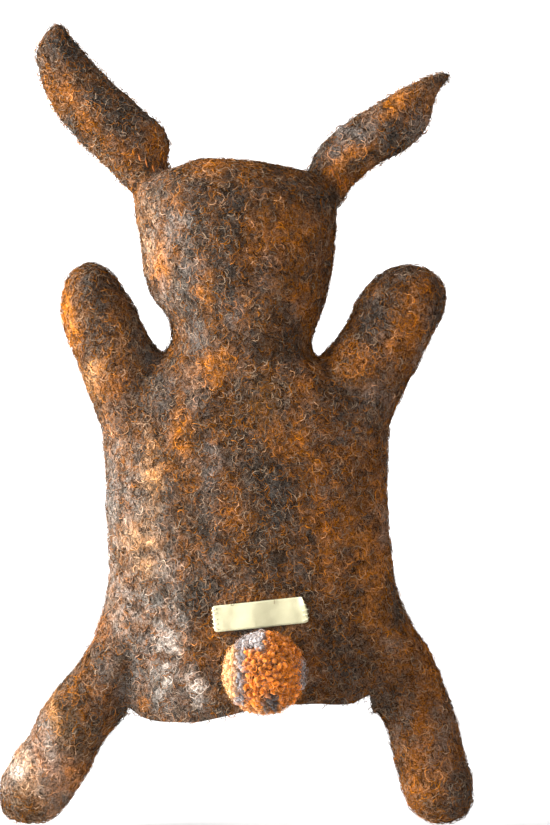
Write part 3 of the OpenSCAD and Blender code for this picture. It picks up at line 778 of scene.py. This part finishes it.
def wool_group():
    """Carded wool seen close: fine curled strands over dark gaps, with painted shade in the gaps and a
    painted highlight on the strands over the wool's own colour. Puts out a colour and a height.
    """
    tree = bpy.data.node_groups.new("Carded wool", "ShaderNodeTree")
    tree.interface.new_socket("Wool", in_out="INPUT", socket_type="NodeSocketColor")
    strand = tree.interface.new_socket("Strand scale", in_out="INPUT", socket_type="NodeSocketFloat")
    strand.default_value = 430
    tree.interface.new_socket("Colour", in_out="OUTPUT", socket_type="NodeSocketColor")
    tree.interface.new_socket("Height", in_out="OUTPUT", socket_type="NodeSocketFloat")
    given = add(tree, "NodeGroupInput").outputs
    where = add(tree, "ShaderNodeTexCoord").outputs["Object"]

    def clouds(scale, detail, distortion, offset):
        moved = add(tree, "ShaderNodeVectorMath", {0: where, 1: (offset, offset, -offset)})
        size = maths(tree, "MULTIPLY", given["Strand scale"], scale)
        return add(tree, "ShaderNodeTexNoise",
                   {"Vector": moved, "Scale": size, "Detail": detail, "Distortion": distortion})

    lines = []
    for i, (scale, width) in enumerate(((1.0, 0.05), (1.7, 0.06), (2.6, 0.07))):
        off_line = maths(tree, "ABSOLUTE", maths(tree, "SUBTRACT", clouds(scale, 1.5, 1.5, 0.37 * i), 0.5))
        lines.append(ranged(tree, off_line, 0, width, 1, 0))
    thick = maths(tree, "MAXIMUM", lines[0], lines[1])
    strands = maths(tree, "MAXIMUM", thick, maths(tree, "MULTIPLY", lines[2], 0.7))
    # The gaps darken the wool colour down to 0.03 in the hollows between strands, painted shade; they also
    # lower the bump.
    gaps = ranged(tree, clouds(1.3, 3, 0.6, 0.9), 0.42, 0.6, 0.03, 1.0)
    rusty = ranged(tree, clouds(0.33, 3, 0.8, 0.5), 0.52, 0.7, 0, 0.4)
    ground = mixed(tree, rusty, scaled(tree, given["Wool"], gaps), WOOL["rust"])
    # The strands lighten the wool colour 2.2 times with a little pale wool, a painted highlight on the raised
    # fibres.
    lit = mixed(tree, 0.18, scaled(tree, given["Wool"], 2.2), WOOL["pale"])
    colour = mixed(tree, maths(tree, "MULTIPLY", strands, 0.75), ground, lit)
    height = maths(tree, "ADD", maths(tree, "MULTIPLY", strands, 0.6), gaps)
    feed(add(tree, "NodeGroupOutput"), {"Colour": colour, "Height": height})
    return tree


def felt_material():
    """Dense matted felt under the loose fibres."""
    material, tree, shader = new_material("felt")
    carded = add(tree, "ShaderNodeGroup", {"Wool": painted(tree, "wool")[0]}, node_tree=wool_group()).outputs
    bump = add(tree, "ShaderNodeBump", {"Strength": 0.7, "Distance": 0.0012, "Height": carded["Height"]})
    feed(shader, {"Base Color": carded["Colour"], "Normal": bump, "Roughness": 0.95,
                  "Specular IOR Level": 0.03})
    return material


def fibre_material():
    """Loose fibres: the wool under them, with darker, brighter, grey and pale hairs among them."""
    material, tree, shader = new_material("loose_fibre")
    wool, _ = painted(tree, "wool")
    _, shade = painted(tree, "shade")
    bright = ranged(tree, maths(tree, "POWER", shade, 2.0), 0, 1, 0.08, 3.6)
    shuffled = maths(tree, "FRACT", maths(tree, "MULTIPLY", shade, 37.7))
    kinds = add(tree, "ShaderNodeValToRGB", {"Fac": shuffled})
    ramp = kinds.color_ramp
    ramp.interpolation = "CONSTANT"
    stops = [(0.0, "umber"), (0.3, "rust"), (0.44, "charcoal"), (0.62, "grey"), (0.76, "orange"),
             (0.86, "straw")]
    while len(ramp.elements) < len(stops):
        ramp.elements.new(0.5)
    for element, (place, tone) in zip(ramp.elements, stops):
        element.position = place
        element.color = WOOL[tone]
    feed(shader, {"Base Color": mixed(tree, 0.4, scaled(tree, wool, bright), kinds), "Roughness": 0.9,
                  "Specular IOR Level": 0.04, "Sheen Weight": 0.14, "Sheen Roughness": 0.4,
                  "Sheen Tint": WOOL["orange"]})
    return material


def noise_material(name, dark, light, scale, roughness, bump=0.0005, specular=0.2):
    """A plain finish with uneven colour and a fine bump."""
    material, tree, shader = new_material(name)
    grain = noise_at(tree, Scale=scale, Detail=4)
    raised = add(tree, "ShaderNodeBump", {"Distance": bump, "Height": grain})
    feed(shader, {"Base Color": mixed(tree, grain, dark, light), "Normal": raised, "Roughness": roughness,
                  "Specular IOR Level": specular})
    return material


def yarn_material():
    """Plied yarn: its colour is on the mesh, with paler and darker plies."""
    material, tree, shader = new_material("pompom_yarn")
    wool, _ = painted(tree, "wool")
    _, shade = painted(tree, "shade")
    plies = noise_at(tree, Scale=900, Detail=4)
    bright = ranged(tree, maths(tree, "ADD", shade, plies), 0.3, 1.7, 0.35, 1.45)
    bump = add(tree, "ShaderNodeBump", {"Distance": 0.0006, "Height": plies})
    feed(shader, {"Base Color": scaled(tree, wool, bright), "Normal": bump, "Roughness": 0.85,
                  "Specular IOR Level": 0.15, "Sheen Weight": 0.3})
    return material


def ribbon_material():
    """Woven satin ribbon: fine crossing threads."""
    material, tree, shader = new_material("label_ribbon")
    where = add(tree, "ShaderNodeTexCoord").outputs["Object"]
    threads = [add(tree, "ShaderNodeTexWave", {"Vector": where, "Scale": scale, "Distortion": 0.6},
                   bands_direction=direction).outputs["Fac"] for direction, scale in (("X", 900), ("Z", 620))]
    crossed = maths(tree, "MULTIPLY", *threads)
    soiled = maths(tree, "MULTIPLY", crossed, noise_at(tree, Scale=120))
    colour = mixed(tree, ranged(tree, soiled, 0, 0.45, 0, 1), srgb(166, 160, 126), srgb(206, 201, 166))
    bump = add(tree, "ShaderNodeBump", {"Strength": 0.5, "Distance": 0.0002, "Height": crossed})
    feed(shader, {"Base Color": colour, "Normal": bump, "Roughness": 0.6})
    return material


# ---- studio ----

def aimed_lamp(name, shape, size, power, place, target):
    """An area lamp that points at the target."""
    lamp = bpy.data.lights.new(name, "AREA")
    lamp.shape = shape
    lamp.size, lamp.size_y = size
    lamp.energy = power
    held = bpy.data.objects.new(name, lamp)
    held.location = place
    held.rotation_euler = (Vector(target) - Vector(place)).to_track_quat("-Z", "Y").to_euler()
    bpy.context.scene.collection.objects.link(held)


def backdrop():
    """A pale floor that curves up into a wall, well clear of the puppet."""
    feet = cad_box[0][2] - 1.5 * MM
    half_width, near, bend, far, height = 6, 6.0, -3.4, -4.2, 4.0
    curve = bend - far
    rising = np.linspace(0.15, math.pi / 2, 12)
    profile = [(near, 0.0), (bend, 0.0)]
    profile += [(bend - curve * math.sin(a), curve * (1 - math.cos(a))) for a in rising]
    profile.append((far, height))
    points = [(x, y, feet + z) for y, z in profile for x in (-half_width, half_width)]
    faces = [(2 * i, 2 * i + 2, 2 * i + 3, 2 * i + 1) for i in range(len(profile) - 1)]
    sweep = mesh_object("backdrop", points, faces)
    material, _, shader = new_material("pale_paper")
    feed(shader, {"Base Color": srgb(244, 243, 242), "Roughness": 0.9})
    sweep.data.materials.append(material)


def studio():
    """Pale floor and backdrop, soft light from the puppet's left, and the camera behind the puppet."""
    backdrop()
    world = bpy.data.worlds.new("studio")
    bpy.context.scene.world = world
    world.use_nodes = True
    feed(world.node_tree.nodes["Background"], {"Color": srgb(250, 250, 252), "Strength": 0.95})
    puppet = (0, 0, 0.14)
    aimed_lamp("window", "SQUARE", (0.8, 0.8), 88, (1.3, 0.4, 0.25), puppet)
    aimed_lamp("top_fill", "SQUARE", (1.0, 1.0), 6, (0.4, 0.3, 1.6), puppet)
    aimed_lamp("paper_wash", "RECTANGLE", (3.0, 0.8), 50, (0, -3.2, 2.0), (0, -4.2, 0.2))
    distance, view_height, sensor = 1.6, 0.396, 36
    lens = bpy.data.cameras.new("camera")
    lens.sensor_fit = "VERTICAL"
    lens.sensor_height = sensor
    lens.lens = sensor * distance / view_height
    camera = bpy.data.objects.new("camera", lens)
    camera.location = (-0.013, distance, 0.1418)
    camera.rotation_euler = (math.pi / 2, 0, math.pi)
    bpy.context.scene.collection.objects.link(camera)
    bpy.context.scene.camera = camera
    bpy.context.scene.view_settings.view_transform = "Standard"


# ---- assembly ----

def bend_between(obj, bodies, low, high, normal, side):
    """Bakes a piece's transform into its mesh; it does not blend the piece across the joint. The bodies are
    not used, nor the two planes, given in millimetres along a normal.
    """
    direction = Vector((side * normal[0], 0, normal[1]))
    direction.normalize()
    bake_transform(obj)


def attach(obj, region):
    """Makes the body's piece of the skin, or its fibres, follow the torso; every other piece only has its
    transform baked in.
    """
    if region == "body":
        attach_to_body(obj, "torso")
        return
    if region in NECK_BODIES:
        i = list(NECK_BODIES).index(region)
        bend_between(obj, NECK_BODIES[region], NECK_CUTS[i], NECK_CUTS[i + 1], (0, 1), 1)
        return
    word, part = region.split("_", 1)
    side = PUPPET_LEFT if word == "left" else PUPPET_RIGHT
    bodies = {"shoulder": ("torso", f"{word}_shoulder"), "arm": (f"{word}_shoulder", f"{word}_arm"),
              "hip": ("torso", f"{word}_hip"), "leg": (f"{word}_hip", f"{word}_leg")}
    if part in ("shoulder", "arm"):
        start = ARM_CUT[side] + (ARM_STEP if part == "arm" else 0)
        bend_between(obj, bodies[part], start, start + ARM_STEP, ARM_NORMAL, side)
    elif part in ("hip", "leg"):
        cuts = LEG_CUTS[side][:2] if part == "hip" else LEG_CUTS[side][1:]
        bend_between(obj, bodies[part], *cuts, LEG_NORMAL, side)
    else:
        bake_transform(obj)


NECK_BODIES = {"neck_turn": ("torso", "neck"), "neck_tilt": ("neck", "neck_inner"),
               "head": ("neck_inner", "head")}
REPLACED = {"body": ["torso_shell"], "neck_turn": ["neck_sleeve"], "neck_tilt": ["neck_lining"],
            "head": ["head_shell"]}
for part in ("shoulder", "arm", "hip", "leg", "ear", "ear_lining"):
    for word in SIDE_NAMES.values():
        stuffing = [f"{word}_leg_stuffing"] if part == "leg" else []
        REPLACED[f"{word}_{part}"] = [f"{word}_{part}"] + stuffing


def felt_and_fuzz():
    """Makes every piece of felt with its loose fibres."""
    skin = skin_mesh()
    lump(skin)
    cut_hem(skin)
    mesh = skin.data
    points, normals = mesh_points(mesh), mesh_normals(mesh)
    carry(mesh, "wool", paint(points, normals))
    carry(mesh, "cover", covered(points))
    centres = np.array([tuple(f.center) for f in mesh.polygons])
    face_normals = np.array([tuple(f.normal) for f in mesh.polygons])
    names = regions(centres, face_normals)
    felt = felt_material()
    loose = fibre_material()
    shapes = fibre_shapes()
    tree = scatter_tree("Loose fibres", shapes, (-0.22, -0.3), (0.22, 0.12), even=False)
    areas = np.array([f.area for f in mesh.polygons])
    for number, region in enumerate(REPLACED):
        chosen = np.nonzero(names == region)[0]
        piece = cut_out(skin, chosen, f"{region}_felt", EAR_FELT if "ear" in region else FELT)
        piece.data.materials.append(felt)
        attach(piece, region)
        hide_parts(*REPLACED[region])
        fibres = areas[chosen].sum() * FIBRES_PER_M2
        parts = max(1, math.ceil(fibres / FIBRES_PER_PIECE))
        order = chosen[np.argsort(centres[chosen, 2] + 10 * (centres[chosen, 1] > 0))]
        weight = np.cumsum(areas[order])
        for part in range(parts):
            share = order[(weight > weight[-1] * part / parts) & (weight <= weight[-1] * (part + 1) / parts)]
            tuft = fuzz(skin, share, f"{region}_fibres_{part + 1}", tree, loose, 10 * number + part)
            attach(tuft, region)
    solid = BVHTree.FromPolygons([tuple(p) for p in points], [tuple(f.vertices) for f in mesh.polygons])
    for shape in shapes:
        remove(shape)
    remove(skin)
    return solid, loose


# ---- tail, label and face ----

def yarn_colour(points):
    """The pompom's windings of different yarn, by place, seen from behind."""
    x, z = points[:, 0] / MM, points[:, 2] / MM
    back = points[:, 1] > tail_at.y - 4 * MM
    tone = {"orange": srgb(204, 118, 36), "grey": srgb(128, 122, 122), "cream": srgb(214, 162, 108),
            "peach": srgb(208, 136, 72), "slate": srgb(76, 68, 66), "light": srgb(170, 164, 162)}
    out = np.tile(np.array(tone["orange"]), (len(points), 1))
    right = x < -25
    top = (z > 33) & (x < 3) & (x > -8)
    grey = (x > 1) & (x <= 5.5)
    out[grey | right] = tone["grey"]
    out[top] = tone["light"]
    out[x > 5.5] = tone["cream"]
    out[(z < 6) & (x > -22)] = tone["peach"]
    out[(z < 12.5) & (x < -7) & (x > -14) & (z > 3)] = tone["slate"]
    ring = ~back & (np.abs(points[:, 1] - tail_at.y + 11 * MM) < 3.5 * MM)
    out[ring] = tone["grey"]
    return out


def pompom(loose):
    """The yarn pompom: curled yarn ends round a firm heart, with a haze of fine fibre."""
    middle, reach = tuple(tail_at / MM), tail_r / MM
    heart = mesh_object("pompom_heart", *ball(middle, (reach - 6,) * 3))
    shell = mesh_object("pompom_yarn", *ball(middle, (reach - 1.3,) * 3, rings=40, sides=64))
    for obj in (heart, shell):
        # The heart gets its yarn colour at 0.35, painted shade deep among the yarn ends.
        colours = yarn_colour(mesh_points(obj.data)) * (0.35 if obj is heart else 1)
        carry(obj.data, "wool", colours)
        carry(obj.data, "cover", np.ones(len(colours)))
    yarn = yarn_material()
    heart.data.materials.append(yarn)
    haze = bpy.data.objects.new("pompom_haze", shell.data.copy())
    bpy.context.scene.collection.objects.link(haze)
    ends = yarn_shapes()
    curls = scatter_tree("Yarn ends", ends, (-0.25, -0.25), (0.25, 0.25), even=True)
    run_nodes(shell, curls, {"Fibres per square metre": 300_000.0, "Least gap": 0.0021, "Seed": 5,
                             "Material": yarn, "Shortest": 0.9, "Longest": 1.15})
    fine = fibre_shapes()
    wisps = scatter_tree("Yarn haze", fine, (-0.8, -0.8), (0.8, 0.3), even=False)
    run_nodes(haze, wisps, {"Fibres per square metre": 1_100_000.0, "Seed": 8, "Material": loose,
                            "Shortest": 0.45, "Longest": 0.8})
    for shape in ends + fine:
        remove(shape)
    for obj in (heart, shell, haze):
        obj.data.shade_smooth()
        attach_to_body(obj, "tail")
    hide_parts("tail_pompom")


def surface_y(solid, x, z):
    """Where the back's felt is at this x and height, in metres."""
    hit = solid.ray_cast(Vector((x, 0.2, z)), Vector((0, -1, 0)))[0]
    return hit.y if hit else 0


def label_point(solid, s, t, lift=0.0):
    """A point on the label, from -1 to 1 along and up it. Its right-hand end curls away from the felt."""
    half_w, half_h = LABEL_W / 2, LABEL_H / 2
    slope = math.radians(6)
    rounded = max(0, abs(s) - 0.93) / 0.07
    t *= 1 - 0.12 * rounded ** 2
    x = label_at.x + s * half_w * math.cos(slope) + t * half_h * math.sin(slope)
    z = label_at.z + LABEL_RAISE - s * half_w * math.sin(slope) + t * half_h * math.cos(slope)
    end = max(0, -s - 0.84) / 0.16
    corner = end * (0.3 + 0.7 * max(0, t)) * 3.4 * MM
    x += end * end * max(0, t) * 2.0 * MM
    ripple = 0.35 * MM * math.sin(7 * s + 1)
    return Vector((x, surface_y(solid, x, z) + 1.2 * MM + lift + corner + ripple, z))


def label(solid):
    """The woven label, sewn on at both ends, with no lettering."""
    across, up, thick = 48, 12, 0.4 * MM
    points, faces = [], []
    for lift in (thick, 0):
        for j in range(up + 1):
            for i in range(across + 1):
                points.append(label_point(solid, 1 - 2 * i / across, 2 * j / up - 1, lift))
    row, layer = across + 1, (across + 1) * (up + 1)
    for j in range(up):
        for i in range(across):
            a = j * row + i
            faces.append((a, a + 1, a + 1 + row, a + row))
            faces.append((layer + a, layer + a + row, layer + a + 1 + row, layer + a + 1))
    edge = [*range(row)] + [j * row + across for j in range(1, up + 1)]
    edge += [up * row + i for i in range(across - 1, -1, -1)] + [j * row for j in range(up - 1, 0, -1)]
    for a, b in zip(edge, edge[1:] + edge[:1]):
        faces.append((b, a, layer + a, layer + b))
    piece = mesh_object("label_ribbon", points, faces)
    piece.data.materials.append(ribbon_material())
    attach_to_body(piece, "torso")
    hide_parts("label")
    parts = []
    for s_end in (-1, 1):
        for k in range(5):
            t = -0.8 + 0.4 * k
            path = [label_point(solid, s_end * (0.9 + 0.12 * u), t + 0.05 * math.sin(9 * k + u),
                                (0.45 + 0.35 * math.sin(math.pi * u)) * MM) for u in (0, 0.25, 0.5, 0.75, 1)]
            path[-1].y -= 1.2 * MM
            parts.append(tube(path, 0.22 * MM))
    stitches = mesh_object("label_sewing", *gathered(parts))
    thread = noise_material("label_thread", srgb(196, 188, 150), srgb(232, 226, 198), 1500, 0.6)
    stitches.data.materials.append(thread)
    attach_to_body(stitches, "torso")
    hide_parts("label_stitches")


def arc(start, middle, end, steps=9):
    """Points on a curve that bows through the middle point."""
    start, middle, end = Vector(start), Vector(middle), Vector(end)
    knee = 2 * middle - (start + end) / 2
    return [(1 - t) ** 2 * start + 2 * t * (1 - t) * knee + t * t * end for t in np.linspace(0, 1, steps)]


def face():
    """Satin-stitched nose, stitched mouth, whiskers and the finish of the bead eyes."""
    black = noise_material("black_thread", srgb(16, 14, 13), srgb(46, 40, 38), 2200, 0.55, specular=0.4)
    parts = []
    rows = 11
    for i in range(rows):
        up = -1 + 2 * (i + 0.5) / rows
        half = nose_size.x * math.sqrt(1 - up * up) * (1.05 - 0.25 * (up < 0) * abs(up))
        z = nose_at.z + up * nose_size.z
        front = nose_at.y - nose_size.y * math.sqrt(1 - 0.6 * up * up)
        path = arc((nose_at.x - half, nose_at.y + 1.5 * MM, z), (nose_at.x, front, z + 0.3 * MM),
                   (nose_at.x + half, nose_at.y + 1.5 * MM, z))
        parts.append(tube(path, nose_size.z / rows * 1.25))
    parts.append(ball(tuple(nose_at / MM), tuple(c / MM * 0.9 for c in nose_size)))
    nose = mesh_object("nose_embroidery", *gathered(parts))
    mouth_low, mouth_high = (Vector(c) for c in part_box("mouth_stitches"))
    middle = (mouth_low.x + mouth_high.x) / 2
    fork = Vector((middle, mouth_low.y + 1.8 * MM, mouth_low.z + 4 * MM))
    strokes = [arc((middle, mouth_low.y + 0.6 * MM, mouth_high.z),
                   (middle, mouth_low.y + 0.4 * MM, fork.z + 2 * MM), fork)]
    for edge in (mouth_low.x + 0.5 * MM, mouth_high.x - 0.5 * MM):
        strokes.append(arc(fork, ((middle + edge) / 2, mouth_low.y + 2 * MM, fork.z - 3.2 * MM),
                           (edge, mouth_high.y, mouth_low.z + 1.4 * MM)))
    mouth = mesh_object("mouth_embroidery", *gathered([tube(s, 0.55 * MM) for s in strokes]))
    made = [(nose, "nose"), (mouth, "mouth_stitches")]
    for side, word in SIDE_NAMES.items():
        low, high = (Vector(c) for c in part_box(f"{word}_whiskers"))
        root_x = low.x if side == PUPPET_LEFT else high.x
        tip_x = high.x if side == PUPPET_LEFT else low.x
        root = Vector((root_x, low.y + 2.5 * MM, high.z - 5 * MM))
        reach = tip_x - root_x
        hairs = []
        ahead = 0.4 * MM if side == PUPPET_LEFT else -9 * MM
        if side == PUPPET_RIGHT:
            reach *= 0.72
        for share, rise, bow in ((0.8, 4.6, 2.5), (1.0, 0.6, 2.2), (0.45, -27.5, -2.5), (0.62, -12, 1.5)):
            tip = root + Vector((share * reach, share * ahead, rise * MM))
            middle_point = (root + tip) / 2 + Vector((0, -1 * MM, bow * MM))
            path = arc(root + Vector((-3 * side * MM, 5 * MM, 0.15 * rise * MM)), middle_point, tip, 12)
            radii = [0.42 * MM * (1 - 0.8 * i / 11) for i in range(12)]
            hairs.append(tube(path, radii))
        made.append((mesh_object(f"{word}_whisker_hairs", *gathered(hairs)), f"{word}_whiskers"))
    for obj, node in made:
        obj.data.materials.append(black)
        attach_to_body(obj, "head")
        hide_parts(node)
    bead = noise_material("eye_bead", srgb(6, 5, 5), srgb(18, 14, 12), 300, 0.06, bump=0.00002, specular=0.8)
    for name in ("left_eye", "right_eye"):
        finish_node(name, bead)
    finish_node("eye_thread", black)


def finish_node(name, material):
    """Gives a CAD node this material."""
    mesh = frame["nodes"][name].data
    if not mesh.materials:
        mesh.materials.append(material)
    for i in range(len(mesh.materials)):
        mesh.materials[i] = material


def ear_sewing(solid):
    """The stitches that pinch each ear's root."""
    thread = noise_material("ear_thread", srgb(120, 62, 20), srgb(176, 104, 44), 1500, 0.7)
    for side, word in SIDE_NAMES.items():
        low, high = (Vector(c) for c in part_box(f"{word}_ear_stitches"))
        parts = []
        for k in range(3):
            at = low.lerp(high, (k + 0.5) / 3)
            path = []
            for u in np.linspace(-1, 1, 7):
                x = at.x + 0.6 * MM * u
                z = at.z + 2.2 * MM * u
                path.append(Vector((x, surface_y(solid, x, z) + (0.75 - 1.1 * u * u) * MM, z)))
            parts.append(tube(path, 0.45 * MM))
        stitches = mesh_object(f"{word}_ear_sewing", *gathered(parts))
        stitches.data.materials.append(thread)
        attach(stitches, f"{word}_ear")
        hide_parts(f"{word}_ear_stitches")


studio()
solid, loose = felt_and_fuzz()
pompom(loose)
label(solid)
face()
ear_sewing(solid)
filling = noise_material("wool_filling", srgb(196, 186, 168), srgb(232, 224, 208), 260, 0.95, bump=0.002)
finish_node("head_stuffing", filling)
tie = noise_material("tail_yarn", srgb(150, 84, 26), srgb(206, 128, 50), 1100, 0.85)
for node in ("tail_tie", "tail_knot", "tail_binding"):
    finish_node(node, tie)
